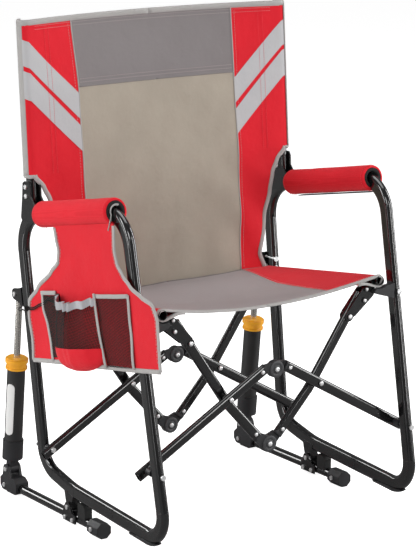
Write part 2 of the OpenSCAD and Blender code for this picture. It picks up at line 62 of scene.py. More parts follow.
def at(x, y, z):
    """A point in mm from the rock axis's plane, as metres in the row frame."""
    return Vector((x, y + ROCK_Y, z)) * MM


def pivot(name):
    """A joint's place in mm, from the rock axis's plane."""
    x, y, z = (value / MM for value in joints[name]["pos_m"])
    return Vector((x, y - ROCK_Y, z))


def lerp(a, b, t):
    return a + (b - a) * t


def clamp(t):
    return max(0.0, min(1.0, t))


def smooth(t):
    t = clamp(t)
    return t * t * (3 - 2 * t)


def hump(t):
    """0 at both ends and 1 in the middle."""
    return math.sin(math.pi * clamp(t))


def bell(value, centre, width):
    return math.exp(-((value - centre) / width) ** 2)


def through(points, t):
    """Value at t of a smooth line through (t, value) points."""
    if t <= points[0][0]:
        return points[0][1]
    for (t0, v0), (t1, v1) in zip(points, points[1:]):
        if t <= t1:
            share = (t - t0) / (t1 - t0)
            return lerp(v0, v1, (smooth(share) + share) / 2)
    return points[-1][1]


def steps(a, b, n):
    return [lerp(a, b, i / n) for i in range(n + 1)]


def chain(*spans):
    """Steps over spans that follow each other, each one (start, end, count)."""
    values = steps(*spans[0])
    for span in spans[1:]:
        values += steps(*span)[1:]
    return values


# ---------- materials ----------

BAND_SPAN = 0.314  # metres between the bands of a wave texture at scale 1


class Finish:
    """Builds one node material around a Principled shader."""

    def __init__(self, name, base, rough, metal=0.0, coat=0.0, sheen=0.0):
        self.mat = bpy.data.materials.new(name)
        self.mat.use_nodes = True
        self.tree = self.mat.node_tree
        self.shader = self.tree.nodes["Principled BSDF"]
        self.base = base
        self.normal = None
        self.coord = self.node("ShaderNodeTexCoord").outputs["Object"]
        self.put("Base Color", (*base, 1))
        self.put("Roughness", rough)
        self.put("Metallic", metal)
        self.put("Coat Weight", coat)
        self.put("Coat Roughness", 0.07)
        self.put("Sheen Weight", sheen)

    def put(self, socket, value):
        self.shader.inputs[socket].default_value = value

    def node(self, kind, **values):
        made = self.tree.nodes.new(kind)
        for key, value in values.items():
            setattr(made, key, value)
        return made

    def link(self, a, b):
        self.tree.links.new(a, b)

    def noise(self, scale, detail=3.0, stretch=(1, 1, 1)):
        mapping = self.node("ShaderNodeMapping")
        mapping.inputs["Scale"].default_value = stretch
        tex = self.node("ShaderNodeTexNoise")
        tex.inputs["Scale"].default_value = scale
        tex.inputs["Detail"].default_value = detail
        self.link(self.coord, mapping.inputs["Vector"])
        self.link(mapping.outputs["Vector"], tex.inputs["Vector"])
        return tex.outputs["Fac"]

    def threads(self, axis, pitch):
        tex = self.node("ShaderNodeTexWave", wave_type="BANDS", bands_direction=axis)
        tex.inputs["Scale"].default_value = BAND_SPAN / pitch
        tex.inputs["Distortion"].default_value = 0.6
        tex.inputs["Detail Scale"].default_value = 2.0
        self.link(self.coord, tex.inputs["Vector"])
        return tex.outputs["Fac"]

    def math(self, kind, a, b):
        made = self.node("ShaderNodeMath", operation=kind)
        for socket, value in zip(made.inputs, (a, b)):
            if isinstance(value, (int, float)):
                socket.default_value = value
            else:
                self.link(value, socket)
        return made.outputs[0]

    def bump(self, height, strength, distance):
        """Adds relief on top of any relief the material already has."""
        made = self.node("ShaderNodeBump")
        made.inputs["Strength"].default_value = strength
        made.inputs["Distance"].default_value = distance
        self.link(height, made.inputs["Height"])
        if self.normal:
            self.link(self.normal, made.inputs["Normal"])
        self.normal = made.outputs["Normal"]
        self.link(self.normal, self.shader.inputs["Normal"])

    def round_edges(self, radius):
        made = self.node("ShaderNodeBevel", samples=4)
        made.inputs["Radius"].default_value = radius
        self.normal = made.outputs["Normal"]
        self.link(self.normal, self.shader.inputs["Normal"])

    def tint(self, factor, low, high):
        """Base colour between two shades of itself."""
        ramp = self.node("ShaderNodeMix", data_type="RGBA")
        ramp.inputs["A"].default_value = (*[c * low for c in self.base], 1)
        ramp.inputs["B"].default_value = (*[min(1, c * high) for c in self.base], 1)
        self.link(factor, ramp.inputs["Factor"])
        self.link(ramp.outputs["Result"], self.shader.inputs["Base Color"])

    def rough_between(self, factor, low, high):
        scaled = self.math("MULTIPLY_ADD", factor, high - low)
        scaled.node.inputs[2].default_value = low
        self.link(scaled, self.shader.inputs["Roughness"])


def paint(name, base, rough, coat, edge=0.0012):
    f = Finish(name, base, rough, coat=coat)
    f.round_edges(edge)
    f.rough_between(f.noise(55, detail=4), low=rough * 0.8, high=rough * 1.25)
    f.tint(f.noise(18, detail=5), low=0.7, high=1.5)
    f.bump(f.noise(900, detail=2), strength=0.03, distance=0.0002)
    return f.mat


def moulded(name, base, rough, grain=1400, depth=0.0004):
    f = Finish(name, base, rough)
    f.round_edges(0.0015)
    f.bump(f.noise(grain, detail=2), strength=0.35, distance=depth)
    f.tint(f.noise(40, detail=4), low=0.75, high=1.35)
    f.rough_between(f.noise(120), low=rough * 0.85, high=rough * 1.15)
    return f.mat


def metal(name, base, rough, stretch=(1, 1, 1)):
    f = Finish(name, base, rough, metal=1.0)
    f.round_edges(0.0008)
    f.rough_between(f.noise(300, 3, stretch), low=rough * 0.6, high=rough * 1.6)
    f.tint(f.noise(150, 3, stretch), low=0.82, high=1.08)
    f.bump(f.noise(700, 2, stretch), strength=0.05, distance=0.0003)
    return f.mat


def woven(name, base, axes, pitch, depth=0.0003, contrast=0.16, sheen=0.06, crumple=0.5):
    """Plain weave: threads along two axes, soft shade variation and faint crumples."""
    f = Finish(name, base, 0.82, sheen=sheen)
    f.put("Sheen Roughness", 0.5)
    f.put("Specular IOR Level", 0.15)
    warp = f.threads(axes[0], pitch)
    weft = f.threads(axes[1], pitch)
    weave = f.math("MULTIPLY", warp, weft)
    cloudy = f.math("MULTIPLY", f.noise(14, detail=5), 0.55)
    f.tint(f.math("ADD", f.math("MULTIPLY", weave, 0.45), cloudy), 1 - contrast, 1 + contrast)
    f.bump(f.noise(26, detail=4), crumple, distance=0.004)
    f.bump(f.noise(150), strength=0.25, distance=0.001)
    f.bump(weave, 0.5, depth)
    f.rough_between(f.noise(90, detail=2), low=0.74, high=0.92)
    return f.mat


def open_mesh(name, base, axes, pitch, hole):
    """See-through mesh: the gaps between threads are clear, and a lower hole value makes them wider."""
    f = Finish(name, base, 0.85)
    f.put("Specular IOR Level", 0.1)
    crossing = f.math("MULTIPLY", f.threads(axes[0], pitch), f.threads(axes[1], pitch))
    gap = f.math("GREATER_THAN", crossing, hole)
    f.link(f.math("SUBTRACT", 1.0, gap), f.shader.inputs["Alpha"])
    f.bump(f.noise(60), strength=0.4, distance=0.002)
    return f.mat


RED = (0.64, 0.013, 0.024)
GREY = (0.37, 0.358, 0.348)
MATS = {
    "frame": paint("gloss_black_enamel", (0.0035, 0.0035, 0.0038), 0.13, 0.8),
    "link": paint("gloss_black_enamel_links", (0.004, 0.004, 0.0043), 0.15, 0.7),
    "bracket": paint("satin_black_stamping", (0.006, 0.006, 0.0065), 0.24, 0.4, 0.0008),
    "strut": paint("satin_black_cylinder", (0.018, 0.018, 0.018), 0.5, 0.0),
    "moulding": moulded("textured_nylon", (0.016, 0.016, 0.018), 0.46),
    "hub": moulded("grey_black_nylon", (0.035, 0.035, 0.038), 0.5),
    "rubber": moulded("rubber", (0.008, 0.008, 0.008), 0.75, 700, 0.0006),
    "gloss_plastic": moulded("smooth_black_plastic", (0.008, 0.008, 0.008), 0.3, 500, 0.0001),
    "collar": moulded("orange_collar", (0.90, 0.36, 0.006), 0.4, 700, 0.0003),
    "rivet": metal("bright_zinc_rivet", (0.93, 0.94, 0.95), 0.42),
    "rod": metal("ground_rod", (0.74, 0.71, 0.66), 0.22, (1, 1, 12)),
    "spring": metal("spring_steel", (0.4, 0.4, 0.42), 0.3),
    "red_xz": woven("red_polyester_back", RED, "XZ", 0.0011),
    "red_xy": woven("red_polyester_seat", RED, "XY", 0.0011),
    "red_yz": woven("red_polyester_pocket", RED, "YZ", 0.0011),
    "red_pad": woven("red_polyester_pad", RED, "YX", 0.0011, crumple=0.3),
    "head": woven("charcoal_headrest", (0.205, 0.187, 0.188), "XZ", 0.0010, contrast=0.1, crumple=0.35),
    "mesh": woven("taupe_mesh", (0.365, 0.325, 0.268), "XZ", 0.0017, 0.0005, 0.22, crumple=0.35),
    "seat": woven("grey_seat", (0.31, 0.278, 0.278), "XY", 0.0012, contrast=0.1, crumple=0.35),
    "seam": woven("dark_seam", (0.17, 0.15, 0.15), "XY", 0.0010, contrast=0.1),
    "binding": woven("grey_binding", GREY, "XZ", 0.0008, contrast=0.12, crumple=0.2),
    "reflective": woven("reflective_tape", (0.43, 0.43, 0.44), "XZ", 0.0009, 0.0001, 0.08, 0.05, 0.25),
    "thread": woven("pale_thread", (0.50, 0.42, 0.41), "XZ", 0.0006, crumple=0.0),
    "red_thread": woven("red_thread", (0.72, 0.06, 0.075), "XZ", 0.0006, crumple=0.0),
    "foam": moulded("black_foam", (0.010, 0.010, 0.010), 0.95, 420, 0.0012),
    "pouch": open_mesh("black_pocket_mesh", (0.034, 0.026, 0.025), "YZ", 0.0026, hole=0.24),
    "thin_pouch": open_mesh("thin_pocket_mesh", (0.030, 0.020, 0.019), "YZ", 0.0026, hole=0.075),
    "elastic": woven("silver_elastic", (0.42, 0.42, 0.44), "YZ", 0.0016, 0.0006, 0.3),
    "label": woven("plain_label", (0.66, 0.66, 0.65), "XZ", 0.0008, 0.0001, 0.05),
    "cord": woven("black_cord", (0.010, 0.010, 0.010), "XZ", 0.0012, 0.0005),
}

CAD_FINISH = {
    "foot_bar": "frame", "foot_cap": "moulding", "rock_bracket": "bracket", "rear_bracket": "moulding",
    "stop_bumper": "rubber", "foot_rivets": "rivet", "side_frame": "frame", "rock_saddle": "bracket",
    "side_mouldings": "moulding", "back_post": "frame", "arm_bracket": "bracket",
    "strut_bracket": "bracket", "side_rivets": "rivet", "strut_clevis": "moulding",
    "strut_cylinder": "strut", "strut_collar": "collar", "strut_spring": "spring", "strut_rod": "rod",
    "front_lower_link": "link", "rear_lower_link": "link", "front_hub": "moulding",
    "rear_hub": "moulding", "upper_links": "link", "lower_hubs": "moulding", "seat_rail": "frame",
    "rail_brackets": "bracket", "cord_lock": "gloss_plastic", "cord_lock_button": "gloss_plastic",
    "arm_pad": "red_pad",
}


def plain_name(node):
    return node[:-2] if node[-2:] in ("_l", "_r") else node


def shade_smooth(mesh, sharp_degrees):
    for polygon in mesh.polygons:
        polygon.use_smooth = True
    mesh.set_sharp_from_angle(angle=math.radians(sharp_degrees))


for node_name, obj in frame["nodes"].items():
    finish = CAD_FINISH.get(plain_name(node_name))
    if finish:
        obj.data.materials.clear()
        obj.data.materials.append(MATS[finish])
        shade_smooth(obj.data, 32)


# ---------- mesh helpers ----------

def grid_faces(rows, cols, closed=False):
    """Quads between rows of points; closed joins each row's last point to its first."""
    faces = []
    for i in range(rows - 1):
        for j in range(cols if closed else cols - 1):
            k = (j + 1) % cols
            faces.append((i * cols + j, i * cols + k, (i + 1) * cols + k, (i + 1) * cols + j))
    return faces


def capped_faces(rows, cols):
    """A closed tube of rings with a cap at each end."""
    faces = grid_faces(rows, cols, closed=True)
    faces.append(tuple(reversed(range(cols))))
    faces.append(tuple(range((rows - 1) * cols, rows * cols)))
    return faces


def sweep(points, width, height, up, sides=10):
    """Verts and faces of an oval tube along points; width lies across up, height along it."""
    verts = []
    last = len(points) - 1
    for i, p in enumerate(points):
        ahead = points[min(i + 1, last)] - points[max(i - 1, 0)]
        ahead.normalize()
        across = ahead.cross(Vector(up)).normalized()
        over = across.cross(ahead).normalized()
        for k in range(sides):
            a = 2 * math.pi * k / sides
            around = across * (width * math.cos(a)) + over * (height * math.sin(a))
            verts.append(p + around * (MM / 2))
    return verts, capped_faces(len(points), sides)


def turned(centre, axis, profile, count=24):
    """A turned solid: profile is (radius, height) in mm along axis."""
    axis = Vector(axis).normalized()
    side = axis.orthogonal().normalized()
    other = axis.cross(side)
    verts = []
    for r, h in profile:
        for k in range(count):
            a = 2 * math.pi * k / count
            verts.append(centre + (side * (r * math.cos(a)) + other * (r * math.sin(a)) + axis * h) * MM)
    return verts, capped_faces(len(profile), count)


def merge(parts):
    verts, faces = [], []
    for part_verts, part_faces in parts:
        base = len(verts)
        verts += part_verts
        faces += [tuple(i + base for i in face) for face in part_faces]
    return verts, faces


def point_on(points, reached, s):
    """The point at length s along points; reached holds the length up to each one."""
    for i in range(len(points) - 1):
        if s <= reached[i + 1]:
            return points[i].lerp(points[i + 1], (s - reached[i]) / (reached[i + 1] - reached[i]))
    return points[-1]


def dashes(rows, length=4.2, gap=2.0, width=0.8):
    """Running stitches: short raised threads along each row, which is its points and its normal."""
    parts = []
    for points, up in rows:
        reached = [0.0]
        for a, b in zip(points, points[1:]):
            reached.append(reached[-1] + (b - a).length / MM)
        s = gap
        while s + length < reached[-1]:
            thread = [point_on(points, reached, s + length * share) for share in (0, 0.5, 1)]
            parts.append(sweep(thread, width, width * 0.8, up, 5))
            s += length + gap
    return merge(parts)


def bake(obj):
    """Applies every modifier, so the piece holds its final mesh."""
    deps = bpy.context.evaluated_depsgraph_get()
    done = bpy.data.meshes.new_from_object(obj.evaluated_get(deps), depsgraph=deps)
    obj.modifiers.clear()
    obj.data = done
    shade_smooth(done, 60)
    return obj


class Kit:
    """Adds pieces that ride on one body, each with the finish it is given; slot is kept but not used."""

    def __init__(self, body, slot):
        self.body = body
        self.slot = slot
        self.made = []

    def piece(self, name, shape, finish):
        verts, faces = shape
        mesh = bpy.data.meshes.new(name)
        mesh.from_pydata([tuple(v) for v in verts], [], faces)
        mesh.validate()
        mesh.update()
        mesh.materials.append(MATS[finish])
        for polygon in mesh.polygons:
            polygon.use_smooth = True
        obj = bpy.data.objects.new(name, mesh)
        bpy.context.scene.collection.objects.link(obj)
        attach(obj, self.body)
        self.made.append(obj)
        return obj

    def sheet(self, name, surface, us, vs, thick, finish):
        """A thin closed cloth panel: surface(u, v) sampled on a grid and given a thickness."""
        points = [surface(u, v) for v in vs for u in us]
        obj = self.piece(name, (points, grid_faces(len(vs), len(us))), finish)
        solid = obj.modifiers.new("thickness", "SOLIDIFY")
        solid.thickness = thick * MM
        solid.offset = 0.0
        solid.use_even_offset = False
        return bake(obj)

    def tape(self, name, points, width, height, up, finish):
        return self.piece(name, sweep(points, width, height, up), finish)

    def narrow(self):
        """Gives every piece made so far a mesh of its own."""
        for obj in self.made:
            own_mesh(obj)


# ---------- back ----------

POST_X = 286.0
POST_LOW = (119.0, 584.0)   # y and z of the post's centre line at its low end
POST_LEAN = 25 / 336
TOP_Z = 922.0
HEAD_Z = 795.0              # seam between the headrest and the mesh
WIDE_Z = 640.0              # low end of the sleeves round the posts
LOW_Z = 404.0
POST_GAP = 12.5             # from a post's centre line to the cloth in front of it
PANEL_X = 285.0             # half width of the panel between the posts
TAUT_X = 262.0              # past this the cloth is pulled smooth towards the post
LOW_LEAN = 0.047            # the cloth's own lean below the sleeves
SLEEVE_REACH = 52.0         # how far the sleeve's rear flap goes back to the panel
WAIST = [(404, 232), (436, 219), (503, 235), (560, 246), (593, 254), (618, 266), (640, 285)]
# Reflective bands: low and high edge at the post, then at the inner seam
BANDS = (((839, 887), (735, 783)), ((779, 830), (675, 723)))
BAND_RISE = 16
CLOTH = 1.6


def post_y(z):
    return POST_LOW[0] + (z - POST_LOW[1]) * POST_LEAN


def fabric_y(z):
    """Where the cloth leaves the posts, then its own line down to the seat."""
    if z >= WIDE_Z:
        return post_y(z) - POST_GAP
    return post_y(WIDE_Z) - POST_GAP + (z - WIDE_Z) * LOW_LEAN


def seam_x(z):
    return 176 + 5 * clamp((z - HEAD_Z) / 120)


def edge_x(z):
    return through(WAIST, z) if z < WIDE_Z else PANEL_X


def back_sag(x, z):
    depth = lerp(4, 17, smooth((z - 560) / 240)) + 19 * smooth((z - 780) / 150)
    return depth * (1 - (abs(x) / POST_X) ** 2)


def wrinkle(x, z):
    """Soft folds that run up and in from the waist, and a faint crumple everywhere."""
    pull = 0.0
    for side in (-1, 1):
        dx, dz = x - side * 235, z - 500
        along = dx * -side * 0.62 + dz * 0.78
        across = dx * side * 0.78 + dz * 0.62
        pull += 3.2 * math.sin(across / 14.0 + side) * math.exp(-(along / 150) ** 2 - (across / 75) ** 2)
    fold = noise.noise(Vector((x / 60, z / 150, 3.1))) * 4.2 * smooth((WIDE_Z - z) / 160)
    return pull + fold + 0.7 * noise.noise(Vector((x / 34, z / 38, 0.5)))


def back_at(x, z, lift=0.0):
    loose = 1 - smooth((abs(x) - TAUT_X) / 20)
    return at(x, fabric_y(z) + back_sag(x, z) + wrinkle(x, z) * loose - lift, z)


def sleeve_at(side, t, z, lift=0.0):
    """t 0 to 1 from the inner seam to the front of the post, 1 to 2 round it, 2 to 3 back along the rear."""
    if t <= 1:
        return back_at(side * lerp(seam_x(z), POST_X - 1.0, t), z, lift)
    rx, ry = POST_GAP - 1 + lift, POST_GAP + lift
    cy = post_y(z)
    if t <= 2:
        a = math.pi * (t - 1)
        return at(side * (POST_X + rx * math.sin(a)), cy - ry * math.cos(a), z)
    x = lerp(POST_X, POST_X - SLEEVE_REACH, t - 2)
    front = fabric_y(z) + back_sag(x, z) + 2.0
    return at(side * x, lerp(cy + ry, front, smooth(t - 2)), z)


def back_panels(kit, side, tag):
    """Headrest, mesh, the wing that goes round the post and the waist below it."""
    def centre(t, z):
        return back_at(side * t * seam_x(z), z)

    def wing(t, z):
        return sleeve_at(side, t, z)

    def waist(t, z):
        return back_at(side * lerp(seam_x(z), edge_x(z), t), z)

    kit.sheet("headrest_" + tag, centre, steps(0, 1, 18), steps(HEAD_Z, TOP_Z, 14), 1.4, "head")
    kit.sheet("back_mesh_" + tag, centre, steps(0, 1, 26), steps(LOW_Z, HEAD_Z, 48), 1.2, "mesh")
    kit.sheet("back_wing_" + tag, wing, chain((0, 1, 12), (1, 2, 10), (2, 3, 6)),
              steps(WIDE_Z, TOP_Z, 34), CLOTH, "red_xz")
    kit.sheet("back_waist_" + tag, waist, steps(0, 1, 12), steps(LOW_Z, WIDE_Z, 34), CLOTH, "red_xz")


def back_bands(kit, side, tag):
    """Reflective bands that climb outward and go on round the post."""
    for n, (outer, inner) in enumerate(BANDS, 1):
        def band(t, v):
            u = min(t, 1.0)
            z = lerp(lerp(inner[0], outer[0], u), lerp(inner[1], outer[1], u), v)
            return sleeve_at(side, t, z + BAND_RISE * max(t - 1, 0), 1.3)

        kit.sheet(f"reflective_band_{n}_{tag}", band, chain((0.01, 1, 16), (1, 1.9, 8)), steps(0, 1, 6),
                  0.5, "reflective")


def back_bindings(kit, side, tag):
    """Grey binding along the top, down the sleeve, round the waist and under the sleeve."""
    rim_z = TOP_Z - 0.5
    top = [back_at(side * x, rim_z) for x in steps(0, POST_X - 4, 24)]
    top += [sleeve_at(side, t, rim_z) for t in steps(1, 2, 8)[1:]]
    kit.tape("top_binding_" + tag, top, 5.4, 12.0, UPWARD, "binding")
    turn = 1.34 - 0.08 * side
    outer = [sleeve_at(side, turn, z, 1.0) for z in steps(TOP_Z, WIDE_Z + 2, 30)]
    kit.tape("outer_binding_" + tag, outer, 12.0, 3.6, (side * 0.85, -0.5, 0), "binding")
    waist = [back_at(side * edge_x(z), z, 0.6) for z in steps(WIDE_Z + 2, LOW_Z, 44)]
    kit.tape("waist_binding_" + tag, waist, 9.5, 4.0, FRONTWARD, "binding")
    rim = [sleeve_at(side, t, WIDE_Z, 0.8) for t in steps(1.0, 2, 10)]
    kit.tape("sleeve_binding_" + tag, rim, 4.0, 7.0, UPWARD, "binding")


def back_seams(kit, side, tag):
    """Piping on the inner seam, the headrest's hem and rows of stitches."""
    seam = [back_at(side * seam_x(z), z, 0.9) for z in steps(TOP_Z - 4, LOW_Z + 4, 60)]
    kit.tape("seam_piping_" + tag, seam, 2.6, 2.2, FRONTWARD, "binding")
    hem = [back_at(side * x, HEAD_Z, 0.9) for x in steps(0, 176, 20)]
    kit.tape("headrest_hem_" + tag, hem, 2.2, 1.8, FRONTWARD, "head")
    lines = [[back_at(side * (seam_x(z) + 7), z, 1.0) for z in steps(TOP_Z - 8, LOW_Z + 8, 70)]]
    for rise in (8, 14):
        lines.append([back_at(side * x, HEAD_Z + rise, 1.0) for x in steps(0, 172, 24)])
        lines.append([back_at(side * x, TOP_Z - rise, 1.0) for x in steps(0, 268, 30)])
    kit.piece("back_stitches_" + tag, dashes([(line, FRONTWARD) for line in lines], 2.6, 2.6, 0.7), "thread")
    rows = []
    for share in (0.54, 0.63):
        line = [back_at(side * lerp(seam_x(z), PANEL_X, share), z, 1.6) for z in steps(TOP_Z - 8, 640, 40)]
        rows.append((line, FRONTWARD))
    kit.piece("wing_stitches_" + tag, dashes(rows, 2.6, 1.6, 0.8), "red_thread")


for side, tag in SIDES:
    kit = Kit("side_" + tag, "back_fabric")
    back_panels(kit, side, tag)
    back_bands(kit, side, tag)
    back_bindings(kit, side, tag)
    back_seams(kit, side, tag)
    kit.narrow()
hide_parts("back_sling")


# ---------- seat ----------

RAIL_X = 242.0
RAIL_R = 9.0
RAIL_FRONT = (-238.0, 444.0)  # y and z of the rail's centre line at its front
RAIL_DROP = 45 / 325
SEAT_FRONT = -247.0
SEAT_REAR = 103.0
FRONT_BOW = 22.0
RAIL_REACH = 48.0             # how far the sleeve goes back under the seat
SEAM_X = 162.0                # half width of the centre panel at the front
SEAM_REAR_X = 176.0
ASKEW = 24.0                  # the centre panel is sewn this much to one side at the front


def rail_z(y):
    return RAIL_FRONT[1] - (y - RAIL_FRONT[0]) * RAIL_DROP


def seat_seam(side, v):
    return lerp(SEAM_X - ASKEW * side, SEAM_REAR_X, v)


def seat_y(x, v):
    """v 0 at the front edge, which bows back between the rails, to 1 at the rear."""
    front = SEAT_FRONT + FRONT_BOW * (1 - (x / RAIL_X) ** 2)
    return lerp(front, SEAT_REAR, v)


def seat_at(x, v, lift=0.0):
    """The seat's sag between the rails, with a few soft waves that grow to the rear."""
    y = seat_y(x, v)
    free = 1 - (abs(x) / RAIL_X) ** 2
    depth = lerp(27, 31, hump(v)) * (1 - smooth((v - 0.55) / 0.45) * 0.9)
    waves = 1.6 * noise.noise(Vector((x / 70, y / 55, 7.0)))
    waves += 1.3 * math.sin((x + y * 0.4) / 30) * smooth((v - 0.6) / 0.4)
    return at(x, y, rail_z(y) + RAIL_R + 1.0 + (waves - depth) * free + lift)


def seat_sleeve(side, t, v):
    """t 0 to 1 from the seam to the rail's top, 1 to 2 round its outside, 2 to 3 back underneath."""
    if t <= 1:
        return seat_at(side * lerp(seat_seam(side, v), RAIL_X - 1, t), v)
    y = seat_y(RAIL_X, v)
    r = RAIL_R + 1.0
    if t <= 2:
        a = math.pi * (t - 1)
        return at(side * (RAIL_X - 1 + r * math.sin(a)), y, rail_z(y) + r * math.cos(a))
    x = lerp(RAIL_X - 1, RAIL_X - RAIL_REACH, t - 2)
    top = seat_at(side * x, v) / MM
    return at(side * x, y, lerp(rail_z(y) - r, top.z - CLOTH, smooth(t - 2)))


def seat_panels(kit, side, tag):
    def centre(t, v):
        return seat_at(side * t * seat_seam(side, v), v)

    def wing(t, v):
        return seat_sleeve(side, t, v)

    kit.sheet("seat_centre_" + tag, centre, steps(0, 1, 22), steps(0, 1, 40), 1.5, "seat")
    kit.sheet("seat_wing_" + tag, wing, chain((0, 1, 10), (1, 2, 8), (2, 3, 6)), steps(0, 1, 36), CLOTH,
              "red_xy")


def seat_seams(kit, side, tag):
    """The front hem, which goes round the rail, the rear seam, the piping and the stitches."""
    hem = [seat_at(side * x, 0.0) for x in steps(0, RAIL_X - 2, 30)]
    hem += [seat_sleeve(side, t, 0.0) for t in chain((1, 2, 8), (2, 3, 6))[1:]]
    kit.tape("seat_hem_" + tag, hem, 9.0, 4.5, (0, -0.25, 1), "binding")
    rear = [seat_at(side * x, 1.0) for x in steps(0, RAIL_X - 2, 20)]
    kit.tape("seat_rear_seam_" + tag, rear, 9.0, 4.0, UPWARD, "seam")
    seam = [seat_at(side * seat_seam(side, v), v, 0.9) for v in steps(0.01, 1, 40)]
    kit.tape("seat_piping_" + tag, seam, 2.2, 1.8, UPWARD, "binding")
    along_seam = [seat_at(side * (seat_seam(side, v) + 6), v, 1.0) for v in steps(0.03, 0.99, 40)]
    along_hem = [seat_at(side * x, 0.035, 1.0) for x in steps(0, 236, 30)]
    rows = [(along_seam, UPWARD), (along_hem, UPWARD)]
    kit.piece("seat_stitches_" + tag, dashes(rows, 2.6, 2.6, 0.7), "thread")


for side, tag in SIDES:
    kit = Kit("seat_frame_" + tag, "seat_fabric")
    seat_panels(kit, side, tag)
    seat_seams(kit, side, tag)
    kit.narrow()
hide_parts("seat_sling")


# ---------- arm pads ----------

PAD_TILT = math.atan2(71, 364)
PAD_LEAN = math.tan(math.radians(0.9))
PAD_SIDES = 56
# The cover at its end: share of the pad's length and swell in mm
PAD_END = ((0.482, 0.1), (0.494, -0.3), (0.5, -1.6), (0.5, -4.5))
# Foam past the cover's end: share of the pad's length, depth inside its radius and push outward
FOAM_RIM = ((0.5, 4.4, 0.0), (0.5, 6.5, 0.8), (0.5, 9.0, 1.2), (0.5, 11.0, 0.4), (0.46, 12.0, 0.0),
            (0.44, 4.4, 0.0))
UNDER_PAD = 43              # the ring's point at the underside, where the flap hangs
CURL_POINTS = range(10, 34, 2)


class Pad:
    """The arm pad's axis, length and radius, worked out from the CAD pad's box."""

    def __init__(self, side, tag):
        low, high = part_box("arm_pad_" + tag)
        wide = (high.x - low.x) - abs(high.z - low.z) * PAD_LEAN
        self.centre = (low + high) / 2
        self.radius = wide / 2
        self.length = ((high.y - low.y) - wide * math.sin(PAD_TILT)) / math.cos(PAD_TILT)
        along = Vector((side * math.sin(PAD_TILT) * PAD_LEAN, -math.cos(PAD_TILT), math.sin(PAD_TILT)))
        self.along = along.normalized()
        self.across = (PLAIN_X - self.along * self.along.x).normalized()
        up = self.along.cross(self.across)
        self.up = up if up.z > 0 else -up

    def ring(self, s, radius):
        """Points round the pad at s along its axis; radius is a number or a function of the angle."""
        ring = []
        for k in range(PAD_SIDES):
            a = 2 * math.pi * k / PAD_SIDES
            r = radius(a) if callable(radius) else radius
            ring.append(self.centre + self.along * s + self.across * (r * math.cos(a))
                        + self.up * (r * math.sin(a)))
        return ring


def pad_cover(kit, pad, side, tag):
    """The cloth cover: slightly lumpy, flatter underneath and drawn in at its ends."""
    profile = [(-t, swell) for t, swell in reversed(PAD_END)]
    profile += [(t, 0.3) for t in steps(-0.46, 0.46, 34)]
    profile += PAD_END
    verts = []
    for t, swell in profile:
        def radius(a):
            dent = 0.55 * noise.noise(Vector((math.cos(a) * 1.4, math.sin(a) * 1.4, t * 7 + side * 3)))
            flat = 0.5 * max(0.0, -math.sin(a)) ** 6
            return pad.radius + (swell + dent - flat) * MM

        verts += pad.ring(t * pad.length, radius)
    faces = grid_faces(len(profile), PAD_SIDES, closed=True)
    cover = kit.piece("arm_cover_" + tag, (verts, faces), "red_pad")
    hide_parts("arm_pad_" + tag)


def pad_foam(kit, pad, tag):
    """A ring of foam that shows at each end of the cover; its last row closes on its first."""
    count = len(FOAM_RIM) * PAD_SIDES
    faces = grid_faces(len(FOAM_RIM) + 1, PAD_SIDES, closed=True)
    faces = [tuple(i % count for i in face) for face in faces]
    for end, name in ((1, "front"), (-1, "rear")):
        verts = []
        for t, inward, out in FOAM_RIM:
            verts += pad.ring(end * (t * pad.length + (out - 1.0) * MM), pad.radius - inward * MM)
        kit.piece(f"arm_foam_{name}_{tag}", (verts, faces), "foam")


def pad_flap(kit, pad, tag):
    """Hook-and-loop flap that closes the cover along its underside."""
    under = [pad.ring(t * pad.length, pad.radius + 2.2 * MM)[UNDER_PAD] for t in steps(-0.4, 0.46, 20)]
    kit.tape("arm_flap_" + tag, under, 24.0, 2.4, UPWARD, "foam")


def pad_curls(kit, pad):
    """Two edges of a flap that curl out at the pad's front end and hang down."""
    for n, (reach, drop) in enumerate(((11.5, 24), (13.0, 27))):
        ring = pad.ring(pad.length / 2 + (1.5 + n * 1.5) * MM, reach * MM)
        curl = [ring[k] for k in CURL_POINTS]
        start = curl[-1]
        curl += [start + Vector((-(2 + n * 5) * f, 0, -drop * f)) * MM for f in steps(0, 1, 6)[1:]]
        kit.tape(f"arm_flap_edge_{n + 1}", curl, 2.2, 1.6, pad.along, "binding")


def pad_stitches(kit, pad, tag):
    rows = []
    for t in (-0.478, 0.478):
        ring = pad.ring(t * pad.length, pad.radius + 0.6 * MM)
        rows.append((ring + [ring[0]], pad.along))
    kit.piece("arm_stitches_" + tag, dashes(rows, 3.0, 1.6, 0.7), "red_thread")


for side, tag in SIDES:
    kit = Kit("side_" + tag, "foam_pad")
    pad = Pad(side, tag)
    pad_cover(kit, pad, side, tag)
    pad_foam(kit, pad, tag)
    if side > 0:
        pad_flap(kit, pad, tag)
    else:
        pad_curls(kit, pad)
    pad_stitches(kit, pad, tag)


# ---------- side pocket ----------

